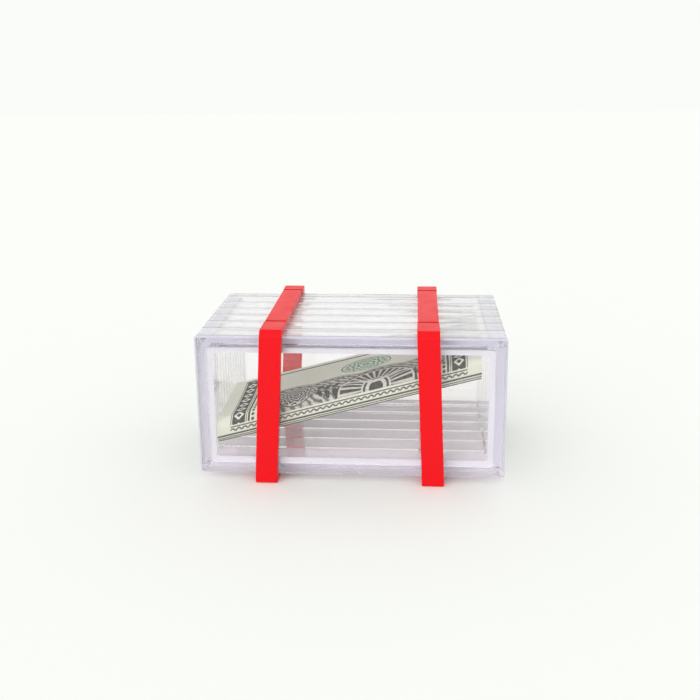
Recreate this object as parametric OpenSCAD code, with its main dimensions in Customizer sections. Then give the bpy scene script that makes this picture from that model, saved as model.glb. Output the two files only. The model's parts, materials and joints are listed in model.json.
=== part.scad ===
// Clear trick box: a row of clear moulded frames held together by two red straps, with a paper note inside.
// Millimetres, +Z up, front towards -Y. The origin is on the ground below the middle of the box.

/* [Stack of frames] */
// Width of every frame
stack_w = 176; // [150:1:200]
// Height of every frame
stack_h = 83; // [70:1:100]
// Depth that the front frame and each middle frame take up, with the air line behind them
layer_d = 14.5; // [12:0.5:18]
// Depth of the rear frame
rear_d = 11; // [9:0.5:16]
// Air line between one frame and the next
layer_gap = 0.3; // [0.1:0.1:0.6]
// Radius of the four long outer corners
corner_r = 2.2; // [0.5:0.1:3]
// Chamfer round the front and back outer edges of each frame
edge_chamfer = 0.9; // [0.2:0.1:1.2]

/* [Frame section] */
// Width of the outer rib, seen from the front
rib_w = 6.5; // [5.5:0.1:9]
// Width of the inner lip, seen from the front
lip_w = 3.5; // [2:0.1:6]
// How far the lip stands out of the back of a frame
lip_h = 1.5; // [1:0.1:2.5]
// Clearance between a lip and the recess that takes it
lip_clear = 0.1; // [0.05:0.05:0.3]
// Radius of the window's corners
window_r = 1; // [0.4:0.1:3]
// Radius of the corners of the lips, the recesses and the panes
recess_r = 2; // [1:0.1:4]

/* [Panes] */
// Thickness of the front and rear panes
pane_t = 2; // [1.2:0.1:3]
// Clearance round and behind a pane
pane_clear = 0.15; // [0.05:0.05:0.4]

/* [Locating pins] */
// Diameter of the pins
pin_d = 3; // [2:0.1:4]
// Length of the pins
pin_len = 8; // [5:0.5:9]
// Distance of a pin's axis from the two outer faces beside it
pin_inset = 3.6; // [3.2:0.1:5]
// Radial clearance of a pin in its socket, and the air beyond its ends
pin_clear = 0.05; // [0.02:0.01:0.2]

/* [Straps] */
// Width of the clips, which are the corners and legs of a strap
strap_w = 12.6; // [9:0.1:16]
// Width of the bars between the clips
bar_w = 12.1; // [8.5:0.1:15.5]
// Thickness of the straps
strap_t = 4; // [3:0.1:6]
// Distance from the middle of the box to the middle of the left strap's top
left_strap_x = 43.7; // [30:0.1:60]
// The same distance for the right strap
right_strap_x = 44.2; // [30:0.1:60]
// How much further out the left strap's underside is than its top
left_strap_lean = 4.7; // [0:0.1:6]
// How much further out the right strap's underside is than its top
right_strap_lean = 3; // [0:0.1:6]
// Length of the front clip along the top and underneath
front_hook = 20; // [14:0.5:30]
// Length of the rear clip along the top and underneath
rear_hook = 11.5; // [10.5:0.5:30]
// Clearance in front of and behind the stack
strap_fit = 0.3; // [0.1:0.1:1]
// Clearance above the stack
strap_top_fit = 0.5; // [0.2:0.1:1]
// Clearance under the stack
strap_seat = 0.1; // [0.05:0.05:0.3]
// Bevel across a strap's upper front corner
strap_bevel = 3.2; // [2:0.1:4]
// Radius of a strap's other outer corners
strap_r = 1.6; // [0.5:0.1:2]
// Width of the open line between a bar and a clip
strap_line = 1.6; // [0.2:0.1:2.4]
// Length of the tongues on the ends of a bar
tongue_len = 5; // [3:0.1:5.5]
// Width of the tongues
tongue_w = 7; // [4:0.1:8]
// Thickness of the tongues
tongue_t = 1.8; // [1:0.1:2]
// Clearance of a tongue in its socket
tongue_clear = 0.1; // [0.05:0.05:0.2]

/* [Strap stops] */
// Width of the stops on top of the front and rear frames
stop_w = 1.2; // [0.8:0.1:3]
// Length of those stops from front to back
stop_len = 3.2; // [2:0.1:6]
// How far those stops stand up
stop_h = 1; // [0.5:0.1:2]
// Width of the stops low on the front and rear faces
low_stop_w = 3.6; // [2:0.1:6]
// Height of those low stops
low_stop_h = 4.4; // [3:0.1:6]
// How far they stand out of the face
low_stop_out = 1; // [0.5:0.1:2]
// Gap between a stop and the strap beside it
stop_gap = 0.4; // [0.2:0.1:1]

/* [Thumb notch] */
// Width of the notch in the middle of the front frame's lower edge
notch_w = 12.5; // [8:0.5:20]
// Height of the notch
notch_h = 2.6; // [1.5:0.1:4]
// Depth of the notch
notch_depth = 1.5; // [0.8:0.1:3]

/* [Paper note] */
// Width of the note, measured along its curve from front to back
note_w = 66; // [50:1:72]
// Thickness of its folded layers
note_t = 1.4; // [0.6:0.1:2]
// Height that the front of the note hangs down
note_drop = 11; // [8:0.5:14]
// Radius of the bend above that
note_bend_r = 6; // [4:0.5:8]
// Height of the lower left corner above the floor of the box
note_lift = 10; // [6:0.5:14]
// Gap between the note and the left wall
note_left_gap = 0.4; // [0.2:0.1:1]
// Gap between the note and the right wall
note_right_gap = 4; // [1:0.5:8]
// Gap between the note and the ceiling
note_top_gap = 0.4; // [0.2:0.1:1]
// Gap between the note and the front pane
note_front_gap = 1.5; // [0.5:0.1:4]

/* [Hidden] */
$fn = 48;
eps = 0.01;

// Frames and their places, counted from 0 at the front
layer_count = 7;
last = layer_count - 1;
stack_d = last * layer_d + rear_d;
front_y = -stack_d / 2;
rear_y = stack_d / 2;
base_z = strap_t + strap_seat;
top_z = base_z + stack_h;
mid_z = base_z + stack_h / 2;
frame_d = layer_d - layer_gap;
function layer_y(k) = front_y + k * layer_d;

// Window, and the recess round it that takes a lip or a pane
wall = rib_w + lip_w;
window_w = stack_w - 2 * wall;
window_h = stack_h - 2 * wall;
recess_w = stack_w - 2 * rib_w;
recess_h = stack_h - 2 * rib_w;
lip_recess = lip_h - layer_gap + lip_clear;
pane_recess = pane_t + pane_clear;

// Pins and sockets
pin_x = stack_w / 2 - pin_inset;
pin_z = stack_h / 2 - pin_inset;
socket_d = pin_d + 2 * pin_clear;
socket_deep = (pin_len - layer_gap) / 2 + pin_clear;

// Straps
strap_in_y = stack_d / 2 + strap_fit;
strap_out_y = strap_in_y + strap_t;
strap_in_top = top_z + strap_top_fit;
strap_top = strap_in_top + strap_t;
function strap_top_x(side) = side < 0 ? left_strap_x : right_strap_x;
function strap_lean(side) = side < 0 ? left_strap_lean : right_strap_lean;
function strap_low_x(side) = strap_top_x(side) + strap_lean(side);
function leg_x(side, z) =
    strap_low_x(side) - strap_lean(side) * (z - strap_t) / (strap_in_top - strap_t);
strap_reach = 2 * (max(strap_low_x(-1), strap_low_x(1)) + strap_w);

// Notch: radius of the arc through its width and height
notch_r = notch_w * notch_w / (8 * notch_h) + notch_h / 2;

// Colours
clear_tint = [0.88, 0.87, 0.93, 0.45];
strap_red = [0.93, 0.06, 0.09];
paper = [0.87, 0.87, 0.80];

// Flat shapes

module rounded_rect(w, h, r) {
    square([w - 2 * r, h], center = true);
    square([w, h - 2 * r], center = true);
    for (sx = [-1, 1])
        for (sy = [-1, 1])
            translate([sx * (w / 2 - r), sy * (h / 2 - r)])
                circle(r);
}

module chamfered_rect(w, h, c) {
    x = w / 2;
    y = h / 2;
    polygon([
        [-x + c, -y], [x - c, -y], [x, -y + c], [x, y - c],
        [x - c, y], [-x + c, y], [-x, y - c], [-x, -y + c]
    ]);
}

// Turns a flat shape, seen from the front and centred on the stack, into a slab from y0 to y0 + d
module slab(y0, d) {
    translate([0, y0 + d, mid_z])
        rotate([90, 0, 0])
            linear_extrude(d)
                children();
}

// Frames

module outer_block(y0, d) {
    intersection() {
        slab(y0, d)
            rounded_rect(stack_w, stack_h, corner_r);
        translate([0, y0 + d / 2, mid_z])
            rotate([90, 0, 90])
                linear_extrude(2 * stack_w, center = true)
                    chamfered_rect(d, stack_h, edge_chamfer);
        translate([0, y0 + d / 2, mid_z])
            linear_extrude(2 * stack_h, center = true)
                chamfered_rect(stack_w, d, edge_chamfer);
    }
}

module window_cut(y0, d) {
    slab(y0 - eps, d + 2 * eps)
        rounded_rect(window_w, window_h, window_r);
}

module recess_cut(y0, d) {
    slab(y0, d)
        rounded_rect(recess_w, recess_h, recess_r);
}

module at_corners() {
    for (sx = [-1, 1])
        for (sz = [-1, 1])
            translate([sx * pin_x, 0, mid_z + sz * pin_z])
                children();
}

module sockets(y0, d) {
    at_corners()
        translate([0, y0 + d, 0])
            rotate([90, 0, 0])
                cylinder(h = d, d = socket_d);
}

// The ring on the back of a frame that enters the recess of the next one
module lip(y0) {
    difference() {
        slab(y0 - eps, lip_h + eps)
            rounded_rect(recess_w - 2 * lip_clear, recess_h - 2 * lip_clear, recess_r - lip_clear);
        window_cut(y0 - eps, lip_h + eps);
    }
}

// A frame from y0, d deep, with a recess in its front, sockets in both faces and, if asked, a lip
module frame(y0, d, front_recess, has_lip) {
    difference() {
        outer_block(y0, d);
        window_cut(y0, d);
        recess_cut(y0 - eps, front_recess + eps);
        sockets(y0 - eps, socket_deep + eps);
        sockets(y0 + d - socket_deep, socket_deep + eps);
    }
    if (has_lip)
        lip(y0 + d);
}

// Stops on the inner sides of the straps: on top at y_mid, and low on the face at face_y towards out
module strap_stops(y_mid, face_y, out) {
    low_z = base_z + edge_chamfer;
    inner = strap_w / 2 + stop_gap;
    for (side = [-1, 1]) {
        stop_x = strap_top_x(side) - inner - stop_w / 2;
        low_x = leg_x(side, low_z + low_stop_h) - inner - low_stop_w / 2;
        translate([side * stop_x, y_mid, top_z + stop_h / 2 - eps])
            cube([stop_w, stop_len, stop_h + 2 * eps], center = true);
        translate([side * low_x, face_y + out * low_stop_out / 2, low_z + low_stop_h / 2])
            cube([low_stop_w, low_stop_out + 2 * eps, low_stop_h], center = true);
    }
}

module front_frame() {
    color(clear_tint)
        difference() {
            union() {
                frame(front_y, frame_d, pane_recess, true);
                strap_stops(front_y + frame_d / 2, front_y, -1);
            }
            translate([0, front_y + notch_depth, base_z + notch_h - notch_r])
                rotate([90, 0, 0])
                    cylinder(h = 2 * notch_depth, r = notch_r);
        }
}

module middle_frame(k) {
    color(clear_tint)
        frame(layer_y(k), frame_d, lip_recess, true);
}

module rear_frame() {
    color(clear_tint)
        difference() {
            union() {
                frame(layer_y(last), rear_d, lip_recess, false);
                strap_stops(layer_y(last) + rear_d / 2, rear_y, 1);
            }
            recess_cut(rear_y - pane_recess, pane_recess + eps);
        }
}

module pane(y0) {
    color(clear_tint)
        slab(y0, pane_t)
            rounded_rect(recess_w - 2 * pane_clear, recess_h - 2 * pane_clear, recess_r - pane_clear);
}

// Four pins across the joint behind frame k
module locating_pins(k) {
    joint_y = layer_y(k) - layer_gap / 2;
    color(clear_tint)
        at_corners()
            translate([0, joint_y + pin_len / 2, 0])
                rotate([90, 0, 0])
                    cylinder(h = pin_len, d = pin_d);
}

// Straps, drawn on the right and mirrored for the left

module on_side(side) {
    if (side < 0)
        mirror([1, 0, 0])
            children();
    else
        children();
}

// Outline of the whole strap seen from the front: upright at the top and underneath, leaning between them
module strap_front_outline(side, w) {
    low = strap_low_x(side);
    high = strap_top_x(side);
    polygon([
        [low - w / 2, 0], [low + w / 2, 0],
        [low + w / 2, strap_t], [high + w / 2, strap_in_top],
        [high + w / 2, strap_top], [high - w / 2, strap_top],
        [high - w / 2, strap_in_top], [low - w / 2, strap_t]
    ]);
}

// Ring of the strap seen from the side, as a sheet from the middle of the box outwards
module strap_ring() {
    rotate([90, 0, 90])
        linear_extrude(strap_reach)
            difference() {
                translate([0, strap_top / 2])
                    rounded_rect(2 * strap_out_y, strap_top, strap_r);
                translate([-strap_in_y, strap_t])
                    square([2 * strap_in_y, strap_in_top - strap_t]);
                polygon([
                    [-strap_out_y - eps, strap_top - strap_bevel - eps],
                    [-strap_out_y + strap_bevel + eps, strap_top + eps],
                    [-strap_out_y - eps, strap_top + eps]
                ]);
            }
}

// The part of the strap that lies between y0 and y1, w wide
module strap_piece(side, y0, y1, w) {
    intersection() {
        strap_ring();
        translate([0, y1, 0])
            rotate([90, 0, 0])
                linear_extrude(y1 - y0)
                    strap_front_outline(side, w);
    }
}

// A tongue that stands d out of a bar end at y, or its socket when grown by a clearance
module tongue(x, y, out, z, grow) {
    d = tongue_len + grow;
    translate([x, y + out * d / 2, z])
        cube([tongue_w + 2 * grow, d + 2 * eps, tongue_t + 2 * grow], center = true);
}

// y of the clips' ends, and the height of the middle of each bar
front_end = -strap_out_y + front_hook;
rear_end = strap_out_y - rear_hook;
upper_z = strap_top - strap_t / 2;
lower_z = strap_t / 2;

module strap_front_clip(side) {
    color(strap_red)
        on_side(side)
            difference() {
                strap_piece(side, -strap_out_y, front_end, strap_w);
                tongue(strap_top_x(side), front_end, -1, upper_z, tongue_clear);
                tongue(strap_low_x(side), front_end, -1, lower_z, tongue_clear);
            }
}

module strap_rear_clip(side) {
    color(strap_red)
        on_side(side)
            difference() {
                strap_piece(side, rear_end, strap_out_y, strap_w);
                tongue(strap_top_x(side), rear_end, 1, upper_z, tongue_clear);
                tongue(strap_low_x(side), rear_end, 1, lower_z, tongue_clear);
            }
}

// A bar between the clips at height z, with its middle at x
module strap_bar(side, x, z) {
    bar_len = rear_end - front_end - 2 * strap_line;
    color(strap_red)
        on_side(side) {
            translate([x, (front_end + rear_end) / 2, z])
                cube([bar_w, bar_len, strap_t], center = true);
            tongue(x, front_end + strap_line, -1, z, 0);
            tongue(x, rear_end - strap_line, 1, z, 0);
        }
}

// Note: a sheet ruled between a left and a right edge curve. Each curve starts at the front lower edge,
// climbs, bends back and runs to the rear edge, its slope changing evenly from the first to the second angle.
note_rows = 12;
note_cols = 28;
note_left_slope = [-2, 6];
note_right_slope = [-4.5, 4.5];
note_x0 = -window_w / 2 + note_left_gap;
note_x1 = window_w / 2 - note_right_gap;
note_front_y = front_y + pane_recess + note_front_gap;
note_z0 = mid_z - window_h / 2 + note_lift;
note_z1 = mid_z + window_h / 2 - note_top_gap - note_drop;

function bend_len(r) = r * PI / 2;
function bend_start() = note_drop - note_bend_r;

// Slope of the curve at length s along it, in degrees above the horizontal
function note_slope(s, ends) =
    let (after = bend_start() + bend_len(note_bend_r))
    s < bend_start() ? 90 :
    s < after ? 90 + (ends[0] - 90) * (s - bend_start()) / (after - bend_start()) :
    ends[0] + (ends[1] - ends[0]) * (s - after) / (note_w - after);

// Points [y, z] of an edge curve, added up from its slopes
function note_curve(ends, i = 0, p = [0, 0]) =
    let (step = note_w / note_cols)
    let (a = note_slope((i + 0.5) * step, ends))
    i == note_cols ? [p] :
    concat([p], note_curve(ends, i + 1, p + step * [cos(a), sin(a)]));

// The same curve, moved by the note's thickness to its under side
function note_under(c) = [
    for (i = [0 : note_cols])
        let (d = c[min(i + 1, note_cols)] - c[max(i - 1, 0)])
        c[i] + note_t / norm(d) * [d[1], -d[0]]
];

function note_side(left, right) = [
    for (row = [0 : note_rows])
        for (i = [0 : note_cols])
            let (t = row / note_rows)
            let (c = left[i] + t * (right[i] - left[i]))
            let (x = note_x0 + t * (note_x1 - note_x0))
            let (z = note_z0 + t * (note_z1 - note_z0))
            [x, note_front_y + c[0], z + c[1]]
];

// Two triangles for the four corners a, b, c, d of a cell
function cell(a, b, c, d) = [[a, b, c], [a, c, d]];

module paper_note() {
    left = note_curve(note_left_slope);
    right = note_curve(note_right_slope);
    n = note_cols + 1;
    m = n * (note_rows + 1);
    end_row = note_rows * n;
    upper = [
        for (r = [0 : note_rows - 1])
            for (i = [0 : note_cols - 1])
                for (f = cell(r * n + i, (r + 1) * n + i, (r + 1) * n + i + 1, r * n + i + 1))
                    [f[2], f[1], f[0]]
    ];
    lower = [for (f = upper) [f[2] + m, f[1] + m, f[0] + m]];
    ends = [
        for (i = [0 : note_cols - 1])
            for (f = concat(cell(i, i + m, i + m + 1, i + 1),
                    cell(end_row + i + 1, end_row + i + m + 1, end_row + i + m, end_row + i)))
                f
    ];
    edges = [
        for (r = [0 : note_rows - 1])
            for (f = concat(cell((r + 1) * n, (r + 1) * n + m, r * n + m, r * n),
                    cell(r * n + n - 1, r * n + n - 1 + m, (r + 2) * n - 1 + m, (r + 2) * n - 1)))
                f
    ];
    color(paper)
        polyhedron(
            concat(note_side(left, right), note_side(note_under(left), note_under(right))),
            concat(upper, lower, ends, edges)
        );
}

front_frame();
middle_frame(1);  // frame_2
middle_frame(2);  // frame_3
middle_frame(3);  // frame_4
middle_frame(4);  // frame_5
middle_frame(5);  // frame_6
rear_frame();
pane(front_y);  // front_pane
pane(rear_y - pane_t);  // rear_pane
locating_pins(1);  // locating_pins_1
locating_pins(2);  // locating_pins_2
locating_pins(3);  // locating_pins_3
locating_pins(4);  // locating_pins_4
locating_pins(5);  // locating_pins_5
locating_pins(6);  // locating_pins_6
strap_front_clip(-1);  // left_strap_front_clip
strap_rear_clip(-1);  // left_strap_rear_clip
strap_bar(-1, strap_top_x(-1), upper_z);  // left_strap_top_bar
strap_bar(-1, strap_low_x(-1), lower_z);  // left_strap_bottom_bar
strap_front_clip(1);  // right_strap_front_clip
strap_rear_clip(1);  // right_strap_rear_clip
strap_bar(1, strap_top_x(1), upper_z);  // right_strap_top_bar
strap_bar(1, strap_low_x(1), lower_z);  // right_strap_bottom_bar
paper_note();
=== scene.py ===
# Clear trick box of stacked frames, two red straps and a paper note: its looks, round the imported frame
import json
import math

import bpy
import numpy as np
from mathutils import Matrix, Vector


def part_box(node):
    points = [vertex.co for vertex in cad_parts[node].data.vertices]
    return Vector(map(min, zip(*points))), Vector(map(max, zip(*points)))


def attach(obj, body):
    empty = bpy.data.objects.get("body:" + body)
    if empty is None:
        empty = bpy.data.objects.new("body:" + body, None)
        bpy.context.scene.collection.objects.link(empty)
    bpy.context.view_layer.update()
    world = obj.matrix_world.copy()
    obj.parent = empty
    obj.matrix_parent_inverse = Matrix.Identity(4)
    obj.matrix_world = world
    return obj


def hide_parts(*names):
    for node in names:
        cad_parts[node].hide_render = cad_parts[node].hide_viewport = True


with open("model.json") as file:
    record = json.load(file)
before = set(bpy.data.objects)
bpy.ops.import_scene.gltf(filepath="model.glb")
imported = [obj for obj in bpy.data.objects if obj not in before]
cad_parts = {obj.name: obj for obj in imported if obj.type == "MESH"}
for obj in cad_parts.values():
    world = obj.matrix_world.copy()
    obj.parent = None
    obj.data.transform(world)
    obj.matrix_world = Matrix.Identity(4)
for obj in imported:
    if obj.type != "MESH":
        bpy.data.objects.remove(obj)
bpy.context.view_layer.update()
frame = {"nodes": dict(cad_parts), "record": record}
nodes = frame["nodes"]
scene = bpy.context.scene
scene.view_settings.view_transform = "Standard"
print("frame loaded:", len(nodes), "nodes")

mm = 0.001
imageSize = 700  # pixels a side


def linear(hexColour):
    # sRGB hex to linear RGB with alpha 1
    parts = [int(hexColour[i : i + 2], 16) / 255 for i in (1, 3, 5)]
    return tuple(c / 12.92 if c <= 0.04045 else ((c + 0.055) / 1.055) ** 2.4 for c in parts) + (1.0,)


def addNode(tree, kind, settings=None, values=None, links=None):
    # one node: settings are its properties, values its plain sockets, links its fed sockets
    made = tree.nodes.new(kind)
    for name, value in (settings or {}).items():
        setattr(made, name, value)
    for name, value in (values or {}).items():
        made.inputs[name].default_value = value
    for name, source in (links or {}).items():
        tree.links.new(source, made.inputs[name])
    return made


def newMaterial(name):
    # an empty material and its node tree
    made = bpy.data.materials.new(name)
    made.use_nodes = True
    made.node_tree.nodes.clear()
    return made, made.node_tree


# Camera: the photograph's viewpoint, from a fit to the box's edges
view = {
    "place": (37.2 * mm, -522.0 * mm, 234.7 * mm),
    "pitch": 12.94,  # degrees below the horizon
    "turn": 4.37,  # degrees to the left
    "roll": -0.68,
    "focalPixels": 891.0,
    "shiftPixels": -80.0,
    "sensor": 36.0,  # mm
}
camData = bpy.data.cameras.new("camera")
camData.sensor_width = view["sensor"]
camData.lens = view["focalPixels"] * view["sensor"] / imageSize
camData.shift_y = view["shiftPixels"] / imageSize
camera = bpy.data.objects.new("camera", camData)
scene.collection.objects.link(camera)
turned = Matrix.Rotation(math.radians(view["turn"]), 4, "Z")
turned = turned @ Matrix.Rotation(math.radians(90 - view["pitch"]), 4, "X")
turned = turned @ Matrix.Rotation(math.radians(view["roll"]), 4, "Z")
camera.matrix_world = Matrix.Translation(view["place"]) @ turned
scene.camera = camera
print("camera placed, lens", round(camData.lens, 1))

# Light: an even pale surround and two broad soft suns, one low from the front left, one weak from behind
studio = {
    "surround": "#fafcf9",  # what the camera and the clear plastic see
    "fill": 0.87,  # how bright the same surround is as a light
    "floor": "#fafbf9",
    "floorReach": 4.0,  # metres to each side
    "sunWidth": 60.0,  # degrees across, for soft shadows
    "suns": {  # strength, degrees from straight down, degrees from the front
        "frontSun": (0.86, 58.0, -25.0),
        "backSun": (0.12, 25.0, 170.0),
    },
    "bounces": 64,  # light passes many clear walls one behind the other
}
world = bpy.data.worlds.new("surround")
scene.world = world
world.use_nodes = True
tree = world.node_tree
tree.nodes.clear()
path = addNode(tree, "ShaderNodeLightPath")
seen = addNode(tree, "ShaderNodeMath", {"operation": "MAXIMUM"},
               links={0: path.outputs["Is Camera Ray"], 1: path.outputs["Is Glossy Ray"]})
seen = addNode(tree, "ShaderNodeMath", {"operation": "MAXIMUM"},
               links={0: seen.outputs[0], 1: path.outputs["Is Transmission Ray"]})
lit = addNode(tree, "ShaderNodeBackground",
              values={"Color": linear(studio["surround"]), "Strength": studio["fill"]})
shown = addNode(tree, "ShaderNodeBackground",
                values={"Color": linear(studio["surround"]), "Strength": 1.0})
both = addNode(tree, "ShaderNodeMixShader",
               links={0: seen.outputs[0], 1: lit.outputs[0], 2: shown.outputs[0]})
addNode(tree, "ShaderNodeOutputWorld", links={"Surface": both.outputs[0]})

for name, (strength, tilt, turn) in studio["suns"].items():
    sunData = bpy.data.lights.new(name, "SUN")
    sunData.energy = strength
    sunData.angle = math.radians(studio["sunWidth"])
    sun = bpy.data.objects.new(name, sunData)
    sun.rotation_euler = (math.radians(tilt), 0, math.radians(turn))
    scene.collection.objects.link(sun)

reach = studio["floorReach"]
floorMesh = bpy.data.meshes.new("floor")
corners = [(-reach, -reach, 0), (reach, -reach, 0), (reach, reach, 0), (-reach, reach, 0)]
floorMesh.from_pydata(corners, [], [(0, 1, 2, 3)])
floor = bpy.data.objects.new("floor", floorMesh)
scene.collection.objects.link(floor)
floorPaint, tree = newMaterial("paleFloorPaint")
paint = addNode(tree, "ShaderNodeBsdfDiffuse", values={"Color": linear(studio["floor"])})
addNode(tree, "ShaderNodeOutputMaterial", links={"Surface": paint.outputs[0]})
floorMesh.materials.append(floorPaint)

scene.cycles.max_bounces = studio["bounces"]
scene.cycles.glossy_bounces = studio["bounces"]
scene.cycles.transmission_bounces = studio["bounces"]
scene.cycles.transparent_max_bounces = studio["bounces"]
print("studio built")

# Clear frames and panes. The places of their faces, in mm, follow from the second frame's box: all frames
# are as wide and as high, and each but the last takes up as much depth
frameSize = {
    "pitch": 14.5,  # from one frame to the next
    "wall": 10.0,  # from the outer faces to the window
    "air": 0.3,  # between one frame and the next
    "lipAir": 0.1,  # between the end of a lip and the next frame
    "paneSeat": 2.15,  # depth of the recess that takes a pane
    "jointReach": 42.0,  # all the joints are within this of the middle
    "faceReach": 0.6,  # how far from a face its zone still holds
}
frameLow, frameHigh = [np.array(corner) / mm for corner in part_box("frame_2")]
sideX = frameHigh[0]
wallX = sideX - frameSize["wall"]
topZ, underZ = frameHigh[2], frameLow[2]
ceilingZ, baseZ = topZ - frameSize["wall"], underZ + frameSize["wall"]
frontY = frameSize["pitch"] - frameLow[1]
seatY = frontY - frameSize["paneSeat"]
firstJointY = frameSize["air"] - frameLow[1]
firstSeamY = frameHigh[1] - frameSize["pitch"] + frameSize["lipAir"] / 2
joints = (0, frameSize["jointReach"])


def around(face, reach=frameSize["faceReach"]):
    # the places within reach of a face, mm
    return face - reach, face + reach


# A zone is the faces turned to one axis, squarely or aslant, within spans in mm: X and Y from the middle of
# the box, Z from the ground, seam from the nearest seam inside. It has a tint, and may add haze, which is
# roughness, milk, which is the share of light that is scattered, and paintedGleam, the share thrown back as
# by metal, a painted highlight
squarely = (0.9, 1.1)
aslant = (0.5, 0.9)
zoneSockets = {"haze": ("Roughness", 1), "milk": ("Transmission Weight", -1), "paintedGleam": ("Metallic", 1)}
frameLook = {
    "tint": "#ffffff",
    "ior": 1.55,
    "polish": 0.01,
    "smudge": 0.014,  # how much rougher handled patches are
    "smudgeSize": 8.0,  # mm
    "zones": {
        "level": ("Z", squarely, {}, "#fbfafc", {}),
        "ceiling": ("Z", squarely, {"Z": around(ceilingZ)}, "#faf8fb", {"milk": 0.06}),
        "top": ("Z", squarely, {"Z": around(topZ)}, "#f6f6f8", {"milk": 0.4}),
        "topEnds": ("Z", squarely, {"Z": around(topZ), "X": (wallX - 0.2, sideX + 1)},
                    "#f1eef8", {"milk": 0.2}),
        "topSeams": ("Z", squarely, {"Z": around(topZ), "seam": (0, 1.6)}, "#b9b7bf", {"milk": 0.2}),
        "base": ("Z", squarely, {"Z": around(baseZ)}, "#fff9fd", {"milk": 0.3}),
        "sideWalls": ("X", squarely, {"X": around(wallX)}, "#ffffff", {"milk": 0.14}),
        # painted highlight in the next two zones: the seams inside are made mirror-like, so that they show
        # as bright lines in place of rounded edges
        "levelSeams": ("Z", squarely, {"Z": (around(baseZ)[0], around(ceilingZ)[1]), "seam": (0, 0.7)},
                       "#ffffff", {"paintedGleam": 0.8}),
        "wallSeams": ("X", squarely, {"X": around(wallX), "seam": (0, 0.4)}, "#ffffff", {"paintedGleam": 0.6}),
        "underside": ("Z", squarely, {"Z": around(underZ, 0.5)}, "#f8eef4", {"haze": 0.1, "milk": 0.85}),
        "mated": ("Y", squarely, {"Y": joints}, "#fcfbff", {}),
        "frontJoint": ("Y", squarely, {"Y": around(firstJointY, 0.15)},
                       "#f4f0ff", {"haze": 0.3, "milk": 0.97}),
        "paneSeats": ("Y", squarely, {"Y": around(seatY, 0.4)}, "#f8f6fd", {"haze": 0.3, "milk": 0.85}),
        "outerRims": ("Y", aslant, {"Y": (frontY - 1.5, frontY + 0.5)},
                      "#dcd8ea", {"haze": 0.3, "milk": 0.85}),
        "chamfers": ("Y", aslant, {"Y": joints}, "#ffffff", {"haze": 0.3, "milk": 0.7}),
    },
}
paneLook = dict(frameLook, tint="#fffeff", zones={})


def between(tree, measured, span):
    # 1 where the size of a measured value is within the span, else 0
    low, high = span
    size = addNode(tree, "ShaderNodeMath", {"operation": "ABSOLUTE"}, links={0: measured})
    return addNode(tree, "ShaderNodeMath", {"operation": "COMPARE"},
                   {1: (low + high) / 2, 2: (high - low) / 2}, {0: size.outputs[0]}).outputs[0]


def clearStyrene(name, look):
    # moulded clear polystyrene: sharp see-through, milky where panes are glued in, on bevelled edges and
    # underneath, faintly so on top and inside, with a painted highlight, a mirror-like line, along each seam
    made, tree = newMaterial(name)
    where = addNode(tree, "ShaderNodeTexCoord")
    facing = addNode(tree, "ShaderNodeSeparateXYZ", links={0: where.outputs["Normal"]}).outputs
    spot = addNode(tree, "ShaderNodeSeparateXYZ", links={0: where.outputs["Object"]}).outputs
    behind = addNode(tree, "ShaderNodeMath", {"operation": "SUBTRACT"}, {1: firstSeamY * mm}, {0: spot["Y"]})
    half = frameSize["pitch"] * mm / 2
    seam = addNode(tree, "ShaderNodeMath", {"operation": "WRAP"}, {1: half, 2: -half},
                   {0: behind.outputs[0]})
    place = {"X": spot["X"], "Y": spot["Y"], "Z": spot["Z"], "seam": seam.outputs[0]}
    handled = addNode(tree, "ShaderNodeTexNoise",
                      values={"Scale": 1 / (look["smudgeSize"] * mm), "Detail": 4.0},
                      links={"Vector": where.outputs["Object"]})
    worn = look["polish"] + look["smudge"]
    rough = addNode(tree, "ShaderNodeMapRange",
                    values={"From Min": 0.4, "From Max": 0.75, "To Min": look["polish"], "To Max": worn},
                    links={"Value": handled.outputs["Fac"]})
    plain = {"IOR": look["ior"], "Base Color": linear(look["tint"]), "Transmission Weight": 1.0}
    links = {"Roughness": rough.outputs[0]}
    for axis, turned, spans, tint, changes in look["zones"].values():
        mask = between(tree, facing[axis], turned)
        for along, (low, high) in spans.items():
            part = between(tree, place[along], (low * mm, high * mm))
            mask = addNode(tree, "ShaderNodeMath", {"operation": "MULTIPLY"},
                           links={0: mask, 1: part}).outputs[0]
        colour = addNode(tree, "ShaderNodeMix", {"data_type": "RGBA"},
                         {6: plain["Base Color"], 7: linear(tint)}, {0: mask})
        changed = {"Base Color": (colour.inputs[6], colour.outputs[2])}
        for change, amount in changes.items():
            socket, sign = zoneSockets[change]
            added = addNode(tree, "ShaderNodeMath", {"operation": "MULTIPLY_ADD"},
                            {1: sign * amount, 2: plain.get(socket, 0.0)}, {0: mask})
            changed[socket] = (added.inputs[2], added.outputs[0])
        # each zone goes on from what the zones before it gave
        for socket, (before, after) in changed.items():
            if socket in links:
                tree.links.new(links[socket], before)
            links[socket] = after
    body = addNode(tree, "ShaderNodeBsdfPrincipled", values=plain, links=links)
    path = addNode(tree, "ShaderNodeLightPath")
    passed = addNode(tree, "ShaderNodeBsdfTransparent", values={"Color": linear(look["tint"])})
    both = addNode(tree, "ShaderNodeMixShader",
                   links={0: path.outputs["Is Shadow Ray"], 1: body.outputs[0], 2: passed.outputs[0]})
    addNode(tree, "ShaderNodeOutputMaterial", links={"Surface": both.outputs[0]})
    return made


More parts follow.
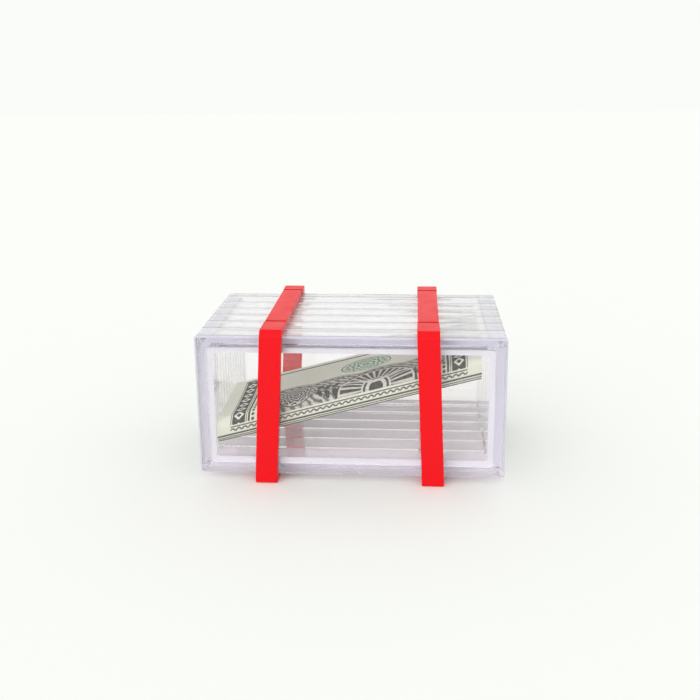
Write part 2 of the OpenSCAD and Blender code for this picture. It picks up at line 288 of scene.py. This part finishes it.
# Red straps
strapLook = {
    "red": "#f40a18",
    "deepRed": "#ea0814",  # the same plastic where the pigment lies thicker
    "gapShadeRed": "#b40a14",  # painted shade: end faces darkened as the shaded gap between a clip and a bar
    "jointReach": 45.0 * mm,  # those faces are within this of the middle
    "ior": 1.5,
    "sheen": 0.17,  # strength of the reflections
    "gloss": (0.28, 0.38),  # roughness
    "patchSize": 9.0,  # mm
    "peel": 0.01 * mm,  # height of the fine moulded texture
    "peelSize": 1.3,  # mm
    "edgeRound": 0.3 * mm,
    "edgeSharp": 30.0,  # degrees from which an edge is rounded
    "levelWithin": 1.0,  # degrees up to which two faces are one
    "weld": 0.001 * mm,
}


def redAbs(look):
    # glossy moulded ABS: saturated red with a soft sheen and a faint orange peel, and painted shade on the
    # end faces in the gap between a clip and a bar
    made, tree = newMaterial("redAbs")
    where = addNode(tree, "ShaderNodeTexCoord")
    facing = addNode(tree, "ShaderNodeSeparateXYZ", links={0: where.outputs["Normal"]}).outputs
    place = addNode(tree, "ShaderNodeSeparateXYZ", links={0: where.outputs["Object"]}).outputs
    patches = addNode(tree, "ShaderNodeTexNoise",
                      values={"Scale": 1 / (look["patchSize"] * mm), "Detail": 3.0},
                      links={"Vector": where.outputs["Object"]})
    colour = addNode(tree, "ShaderNodeMix", {"data_type": "RGBA"},
                     {6: linear(look["red"]), 7: linear(look["deepRed"])}, {0: patches.outputs["Fac"]})
    # painted shade: end faces near the middle, in the gap between a clip and a bar, take a darker red
    square = between(tree, facing["Y"], squarely)
    inner = between(tree, place["Y"], (0, look["jointReach"]))
    gapShade = addNode(tree, "ShaderNodeMath", {"operation": "MULTIPLY"}, links={0: square, 1: inner})
    colour = addNode(tree, "ShaderNodeMix", {"data_type": "RGBA"}, {7: linear(look["gapShadeRed"])},
                     {0: gapShade.outputs[0], 6: colour.outputs[2]})
    rough = addNode(tree, "ShaderNodeMapRange", values={
        "From Min": 0.3, "From Max": 0.7, "To Min": look["gloss"][0], "To Max": look["gloss"][1]},
        links={"Value": patches.outputs["Fac"]})
    peel = addNode(tree, "ShaderNodeTexNoise", values={"Scale": 1 / (look["peelSize"] * mm), "Detail": 2.0},
                   links={"Vector": where.outputs["Object"]})
    bump = addNode(tree, "ShaderNodeBump", values={"Strength": 1.0, "Distance": look["peel"]},
                   links={"Height": peel.outputs["Fac"]})
    body = addNode(tree, "ShaderNodeBsdfPrincipled", values={
        "IOR": look["ior"], "Specular IOR Level": look["sheen"]}, links={
        "Base Color": colour.outputs[2], "Roughness": rough.outputs[0], "Normal": bump.outputs[0]})
    addNode(tree, "ShaderNodeOutputMaterial", links={"Surface": body.outputs[0]})
    return made


def softenEdges(node, look):
    # joins the loose triangles, clears the edges between level ones and rounds the edges that are left
    weld = node.modifiers.new("weld", "WELD")
    weld.merge_threshold = look["weld"]
    level = node.modifiers.new("level", "DECIMATE")
    level.decimate_type = "DISSOLVE"
    level.angle_limit = math.radians(look["levelWithin"])
    edge = node.modifiers.new("edge", "BEVEL")
    edge.width = look["edgeRound"]
    edge.segments = 2
    edge.limit_method = "ANGLE"
    edge.angle_limit = math.radians(look["edgeSharp"])
    shade = node.modifiers.new("shade", "WEIGHTED_NORMAL")
    shade.keep_sharp = True


# Paper note: a printed sheet with two plain layers folded under it, ruled between a left and a right curve
noteShape = {
    "width": 66.0,  # mm along the curve, front to back
    "climb": 1.04,  # its length over that of its box, because it climbs to the right
    "bendStart": 5.0,  # mm along the curve
    "bendRadius": 6.0,
    "sharpEdge": 40.0,  # degrees from which an edge is shaded sharp
    "leftSlope": (-2.0, 6.0),  # degrees after the bend and at the rear edge
    "rightSlope": (-4.5, 4.5),
    "sheet": 0.22,  # mm thick
    "printCell": 0.5,  # mm between points of the printed layer
    "foldCell": 2.0,
    "foldDepths": (0.55, 1.1),  # mm below the printed side
    "foldShowLeft": (1.3, 2.5),  # mm that each lower layer shows at the front
    "foldShowRight": (1.6, 3.1),
    "foldEdgeShade": 0.35,  # mm of painted shade, dark as the print, on the front edge of each lower layer, for the shaded gap under the layer above
}


def noteCurve(slopes, steps, shape):
    # the slope is 90 degrees up to the bend, falls evenly round it, then changes evenly to the rear edge;
    # the points are the running sum of equal steps in the slope's direction
    after = shape["bendStart"] + shape["bendRadius"] * math.pi / 2
    along = (np.arange(steps) + 0.5) * shape["width"] / steps
    slope = np.radians(np.interp(along, (0, shape["bendStart"], after, shape["width"]), (90, 90) + slopes))
    step = np.stack([np.cos(slope), np.sin(slope)], 1) * shape["width"] / steps
    return np.concatenate([np.zeros((1, 2)), np.cumsum(step, 0)])


def curveInward(curve):
    # unit vectors at right angles to the curve, towards its under side
    way = np.gradient(curve, axis=0)
    way = way / np.linalg.norm(way, axis=1, keepdims=True)
    return np.stack([way[:, 1], -way[:, 0]], 1)


def noteGrid(cells, depth, drop, shape, box):
    # point (t, i): the left curve carried evenly to the right one, sunk by depth, its front lowered by drop
    across, along = cells
    low, high = np.array(box[0]) / mm, np.array(box[1]) / mm
    left = noteCurve(shape["leftSlope"], along, shape)
    right = noteCurve(shape["rightSlope"], along, shape)
    rise = high[2] - right[:, 1].max() - low[2]
    left = left + depth * curveInward(left)
    right = right + depth * curveInward(right)
    t = np.linspace(0, 1, across + 1)[:, None]
    y = low[1] + left[None, :, 0] * (1 - t) + right[None, :, 0] * t
    z = low[2] + rise * t + left[None, :, 1] * (1 - t) + right[None, :, 1] * t
    front = np.clip(1 - np.linspace(0, shape["width"], along + 1) / shape["bendStart"], 0, 1)
    z = z - front * (drop[0] * (1 - t) + drop[1] * t)
    x = low[0] + (high[0] - low[0]) * t + np.zeros_like(y)
    return np.stack([x, y, z], 2) * mm


def closedSheet(top, under):
    # two grids of the same size joined round their edges: quads of the upper and lower faces and the rim
    rows, cols = top.shape[:2]
    index = np.arange(rows * cols).reshape(rows, cols)
    upper = np.stack([index[:-1, :-1], index[1:, :-1], index[1:, 1:], index[:-1, 1:]], 2).reshape(-1, 4)
    lower = upper[:, ::-1] + rows * cols
    rim = np.concatenate([index[:-1, 0], index[-1, :-1], index[:0:-1, -1], index[0, :0:-1]])
    ahead = np.roll(rim, -1)
    edge = np.stack([ahead, rim, rim + rows * cols, ahead + rows * cols], 1)
    points = np.concatenate([top.reshape(-1, 3), under.reshape(-1, 3)])
    return points, np.concatenate([upper, lower, edge])


# Print on the note, in mm from its left edge (u) and its front edge (v): a made-up ornamental design, with
# lines given by half their width
printPlan = {
    "margin": 8.2,  # bare paper at each end
    "rearMargin": 2.6,
    "frontLine": 0.95,  # whole width
    "arches": (3.8, 2.0, 1.5, 0.4),  # spacing, v of the middles, radius, line
    "rail": (4.8, 0.35),  # v, line
    "rearRail": (4.0, 0.7),  # from the rear edge, line
    "band": (13.2, 5.0, 6.0),  # middle of each end band, from its end, half its width, and its first v
    "groove": (0.8, 0.3),  # pale line inside the band's edges: how far in, line
    "lozenges": (7.4, 3.2, 3.1),  # spacing, half sizes across and along the band
    "lozengeDepth": 1.8,  # about mm from a lozenge's middle to its sides
    "heart": 0.5,  # dark middle's share of a lozenge
    "bandLine": (19.5, 0.6),  # from each end, line
    "dots": (21.9, 2.8, 0.95),  # from each end, spacing, radius
    "panel": (24.4, 6.2, 31.0),  # where the engraved panel starts, from each end, and its first and last v
    "scallops": (9.0, 3.0),  # on its rear edge: length over pi, depth
    "scallopLines": ((0.0, 0.5), (1.9, 0.35)),  # behind that edge, line
    "rose": (47.0, 19.5, 10.5, 12, 2.3),  # place, radius, petals, spacing of the rings
    "smallRose": (127.0, 17.0, 7.0, 9, 2.0),
    "oval": (88.0, 46.5, 8.6, 16, 2.1),
    "ovalSquash": 0.62,  # height over length
    "roseRings": (0.09, 0.27),  # swing as a share of the radius, line as a share of the spacing
    "roseRim": (0.9, 0.35, 1.2),  # plain ring outside the radius, its line, and the reach of the bare disc
    "sun": (96.0, 7.5, 23.5),  # place, radius of the outer arc
    "sunFoot": 1.0,  # how far below its middle it stops
    "sunCore": 4.2,
    "sunArc": (7.0, 0.7),  # radius of the inner arc, line of both arcs
    "rays": (15, 0.3, 15.2, 6.4),  # number in half a turn, inked half share, middle and half length
    "ribbon": (15.5, 3.2, 5.5, 1.3),  # v, swing, length of the swing over two pi, line
    "leaves": (59.5, 73.5, 4.7),  # first and last u, spacing
    "leaf": (4.6, 0.3, 0.45, 1.6),  # from the stem, lean, squash, radius
    "stem": (18.0, 2.2, 4.0, 0.5),  # v, swing, length of the swing over two pi, line
    "waves": (35.5, 60.0, 2.8, 0.3),  # first and last v, spacing, line
    "waveSwing": (1.8, 7.0),  # swing, its length over two pi
}


def stroke(away, half):
    # a line: the distance to its edge from the distance to its middle
    return np.abs(away) - half


def rosette(u, v, shape, plan):
    # round guilloche: rings whose radius swings with the angle, inside a plain ring; and the disc it fills
    middleU, middleV, radius, petals, step = shape
    swing, share = plan["roseRings"]
    ring, line, disc = plan["roseRim"]
    away = np.hypot(u - middleU, v - middleV)
    turn = np.arctan2(v - middleV, u - middleU)
    rings = stroke(away * (1 + swing * np.cos(petals * turn)) % step - step / 2, share * step)
    rim = stroke(away - radius - ring, line)
    return np.minimum(np.maximum(rings, away - radius), rim), away - radius - disc


def borderPrint(u, v, side, width, plan):
    # front edge: a dark line, a row of arches and a rail; rear edge: a rail
    step, middle, radius, line = plan["arches"]
    arch = stroke(np.hypot(u % step - step / 2, v - middle) - radius, line)
    border = np.minimum(np.maximum(arch, middle - v), stroke(v - plan["rail"][0], plan["rail"][1]))
    border = np.minimum(border, stroke(v - width + plan["rearRail"][0], plan["rearRail"][1]))
    return np.minimum(np.maximum(border, plan["margin"] - side), v - plan["frontLine"])


def endPrint(v, side, plan):
    # end bands: dark, with pale lozenges that hold a dark heart, then a line and a row of dots
    middle, half, first = plan["band"]
    step, across, along = plan["lozenges"]
    inset, groove = plan["groove"]
    off = np.abs(side - middle)
    lozenge = off / across + np.abs(v % step - step / 2) / along
    pale = np.maximum(lozenge - 1, plan["heart"] - lozenge) * plan["lozengeDepth"]
    band = np.maximum.reduce([off - half, -pale, -stroke(off - half + inset, groove)])
    dotSide, dotStep, dotRadius = plan["dots"]
    dots = np.hypot(side - dotSide, v % dotStep - dotStep / 2) - dotRadius
    line = stroke(side - plan["bandLine"][0], plan["bandLine"][1])
    return np.maximum(np.minimum.reduce([band, line, dots]), first - v)


def sunPrint(u, v, plan):
    # half sun: solid core, two arcs and rays that widen outwards, crossed by a wavy pale ribbon; and its
    # disc, cut off at the foot
    middleU, middleV, radius = plan["sun"]
    number, share, rayMiddle, rayHalf = plan["rays"]
    ribbonV, swing, wave, line = plan["ribbon"]
    arc, arcLine = plan["sunArc"]
    away = np.hypot(u - middleU, v - middleV)
    turn = np.arctan2(v - middleV, u - middleU) / math.pi * number
    rays = stroke(turn % 1 - 0.5, share) * away * math.pi / number
    rays = np.maximum(rays, stroke(away - rayMiddle, rayHalf))
    arcs = np.minimum(stroke(away - arc, arcLine), stroke(away - radius, arcLine))
    ribbon = stroke(v - ribbonV - swing * np.sin(u / wave), line)
    foot = middleV - plan["sunFoot"] - v
    sun = np.maximum.reduce([np.minimum.reduce([rays, arcs, away - plan["sunCore"]]), -ribbon, foot])
    return sun, np.maximum(away - radius, foot)


def leafPrint(u, v, plan):
    # leaf pairs on a wavy stem
    first, final, step = plan["leaves"]
    offset, lean, squash, radius = plan["leaf"]
    stemV, swing, wave, line = plan["stem"]
    fromStem = np.abs(v - (stemV + swing * np.sin(u / wave)))
    leafU = (u - first) % step - step / 2
    leafV = fromStem - offset
    leaf = np.hypot(leafU - lean * leafV, leafV * squash) - radius
    return np.maximum.reduce([np.minimum(leaf, fromStem - line), first - u, u - final])


def notePrint(u, v, length, width, plan):
    # each field is a distance in mm to the edge of one ink, below zero where the ink is; the smaller of two
    # distances joins shapes, the larger one cuts a shape with another
    side = np.minimum(u, length - u)
    rose, roseDisc = rosette(u, v, plan["rose"], plan)
    smallRose, smallDisc = rosette(u, v, plan["smallRose"], plan)
    squash = plan["ovalSquash"]
    oval, _ = rosette(u * squash, v, (plan["oval"][0] * squash,) + plan["oval"][1:], plan)
    sun, sunDisc = sunPrint(u, v, plan)

    # engraved panel with a scalloped, double-lined rear edge, and wavy lines behind it
    start, first, final = plan["panel"]
    edge = final + plan["scallops"][1] * np.abs(np.sin(u / plan["scallops"][0]))
    panel = np.maximum.reduce([v - edge, first - v, start - side])
    scallop = np.minimum.reduce([stroke(v - edge - behind, line) for behind, line in plan["scallopLines"]])
    scallop = np.maximum(scallop, start - side)
    firstWave, lastWave, step, line = plan["waves"]
    swing, wave = plan["waveSwing"]
    waves = stroke((v + swing * np.sin(u / wave)) % step - step / 2, line)
    waves = np.maximum.reduce([waves, firstWave - v, v - lastWave, start - side])

    engraved = np.maximum.reduce([panel, -roseDisc, -smallDisc, -sunDisc])
    border, ends = borderPrint(u, v, side, width, plan), endPrint(v, side, plan)
    dark = np.minimum.reduce([border, ends, rose, smallRose, sun, leafPrint(u, v, plan), scallop])
    dark = np.maximum(dark, v - width + plan["rearMargin"])
    return {"tint": np.minimum(panel, waves), "engraved": engraved, "green": oval, "dark": dark}


paperLook = {
    "paper": "#eeefdf",
    "worn": "#e4e4d2",
    "tint": "#c3bab5",
    "engraved": "#5b5953",
    "green": "#5f9175",
    "dark": "#272d26",
    "ior": 1.45,
    "rough": (0.72, 0.9),
    "mottleSize": 4.0,  # mm
    "grainSize": 0.9,  # mm, of the inks
    "hatchStep": 2.6,  # mm between engraved strokes
    "fibreSize": 0.6,  # mm, coarser than real fibres, so that they show
    "fibreHeight": 0.05 * mm,
    "inkEdge": 0.15,  # mm to each side over which an ink ends
}


def printedPaper(length, look):
    # matt cotton paper with raised print: cream, dark green-grey lines, a mauve tint and one green rosette
    made, tree = newMaterial("printedPaper")
    where = addNode(tree, "ShaderNodeUVMap", {"uv_map": "sheetPlace"})
    mottle = addNode(tree, "ShaderNodeTexNoise",
                     values={"Scale": length / look["mottleSize"], "Detail": 6.0},
                     links={"Vector": where.outputs[0]})
    colour = addNode(tree, "ShaderNodeMix", {"data_type": "RGBA"},
                     {6: linear(look["paper"]), 7: linear(look["worn"])}, {0: mottle.outputs[0]}).outputs[2]
    grain = addNode(tree, "ShaderNodeTexNoise", values={"Scale": length / look["grainSize"], "Detail": 2.0},
                    links={"Vector": where.outputs[0]})
    speckle = addNode(tree, "ShaderNodeMapRange",
                      values={"From Min": 0.42, "From Max": 0.62, "To Min": 0.35, "To Max": 1.0},
                      links={"Value": grain.outputs["Fac"]})
    solid = addNode(tree, "ShaderNodeMapRange",
                    values={"From Min": 0.2, "From Max": 0.5, "To Min": 0.75, "To Max": 1.0},
                    links={"Value": grain.outputs["Fac"]})
    strokes = length / look["hatchStep"] / math.pi
    hatch = addNode(tree, "ShaderNodeTexWave", {"wave_type": "BANDS", "bands_direction": "DIAGONAL"},
                    {"Scale": strokes, "Distortion": 5.0, "Detail": 2.0, "Detail Scale": 2.0},
                    {"Vector": where.outputs[0]})
    weights = {"tint": speckle.outputs[0], "engraved": hatch.outputs["Fac"],
               "green": solid.outputs[0], "dark": solid.outputs[0]}
    for name, weight in weights.items():
        away = addNode(tree, "ShaderNodeAttribute", {"attribute_name": name})
        mask = addNode(tree, "ShaderNodeMapRange", {"interpolation_type": "SMOOTHSTEP"},
                       {"From Min": look["inkEdge"], "From Max": -look["inkEdge"]},
                       {"Value": away.outputs["Fac"]})
        share = addNode(tree, "ShaderNodeMath", {"operation": "MULTIPLY"},
                        links={0: mask.outputs[0], 1: weight})
        colour = addNode(tree, "ShaderNodeMix", {"data_type": "RGBA"}, {7: linear(look[name])},
                         {0: share.outputs[0], 6: colour}).outputs[2]
    fibre = addNode(tree, "ShaderNodeTexNoise", values={"Scale": length / look["fibreSize"], "Detail": 3.0},
                    links={"Vector": where.outputs[0]})
    bump = addNode(tree, "ShaderNodeBump", values={"Strength": 0.12, "Distance": look["fibreHeight"]},
                   links={"Height": fibre.outputs["Fac"]})
    rough = addNode(tree, "ShaderNodeMapRange",
                    values={"To Min": look["rough"][0], "To Max": look["rough"][1]},
                    links={"Value": fibre.outputs["Fac"]})
    body = addNode(tree, "ShaderNodeBsdfPrincipled", values={"IOR": look["ior"]}, links={
        "Base Color": colour, "Roughness": rough.outputs[0], "Normal": bump.outputs[0]})
    addNode(tree, "ShaderNodeOutputMaterial", links={"Surface": body.outputs[0]})
    return made


def buildNote(shape, plan):
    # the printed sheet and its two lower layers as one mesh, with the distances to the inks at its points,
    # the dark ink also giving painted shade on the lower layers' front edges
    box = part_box("paper_note")
    width = shape["width"]
    length = (box[1][0] - box[0][0]) / mm * shape["climb"]
    layers = [(0.0, (0, 0), shape["printCell"])]
    layers += [(depth, drop, shape["foldCell"]) for depth, drop in
               zip(shape["foldDepths"], zip(shape["foldShowLeft"], shape["foldShowRight"]))]
    points, faces, place, side = [], [], [], []
    count = 0
    for depth, drop, cell in layers:
        cells = (round(length / cell), round(width / cell))
        top = noteGrid(cells, depth, drop, shape, box)
        under = noteGrid(cells, depth + shape["sheet"], drop, shape, box)
        sheetPoints, sheetFaces = closedSheet(top, under)
        u, v = np.meshgrid(np.linspace(0, length, cells[0] + 1), np.linspace(0, width, cells[1] + 1),
                           indexing="ij")
        points.append(sheetPoints)
        faces.append(sheetFaces + count)
        place.append(np.tile(np.stack([u.ravel(), v.ravel()], 1), (2, 1)))
        face = "printed" if depth == 0 else "fold"
        side.append(np.where(np.arange(len(sheetPoints)) < u.size, face, "under"))
        count += len(sheetPoints)
    points, faces, place, side = [np.concatenate(part) for part in (points, faces, place, side)]
    mesh = bpy.data.meshes.new("paperNote")
    mesh.from_pydata(points, [], faces)
    mesh.polygons.foreach_set("use_smooth", np.ones(len(faces), bool))
    mesh.set_sharp_from_angle(angle=math.radians(shape["sharpEdge"]))
    bare = 5.0  # mm from any ink
    for name, away in notePrint(place[:, 0], place[:, 1], length, width, plan).items():
        # painted shade: the dark ink runs along the front edge of each lower layer, for the shaded gap under
        # the layer above
        foldShade = place[:, 1] - shape["foldEdgeShade"] if name == "dark" else bare
        away = np.where(side == "printed", away, np.where(side == "fold", foldShade, bare))
        mesh.attributes.new(name, "FLOAT", "POINT").data.foreach_set("value", away.astype(np.float32))
    corner = np.zeros(len(mesh.loops), np.int32)
    mesh.loops.foreach_get("vertex_index", corner)
    mesh.uv_layers.new(name="sheetPlace").data.foreach_set("uv", (place[corner] / length).ravel())
    note = bpy.data.objects.new("paperNote", mesh)
    scene.collection.objects.link(note)
    mesh.materials.append(printedPaper(length, paperLook))
    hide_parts("paper_note")
    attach(note, "stack")
    return note


note = buildNote(noteShape, printPlan)
print("note built:", len(note.data.polygons), "faces")

finishes = {"clear_plastic": clearStyrene("clearStyrene", frameLook), "red_plastic": redAbs(strapLook)}
slotOf = {row["node"]: row["material_slot"] for row in frame["record"]["subparts"]}
for name, node in nodes.items():
    if slotOf[name] in finishes:
        node.data.materials[0] = finishes[slotOf[name]]
    if slotOf[name] == "red_plastic":
        softenEdges(node, strapLook)
paneStyrene = clearStyrene("paneStyrene", paneLook)
for name in ("front_pane", "rear_pane"):
    nodes[name].data.materials[0] = paneStyrene
print("finishes assigned")
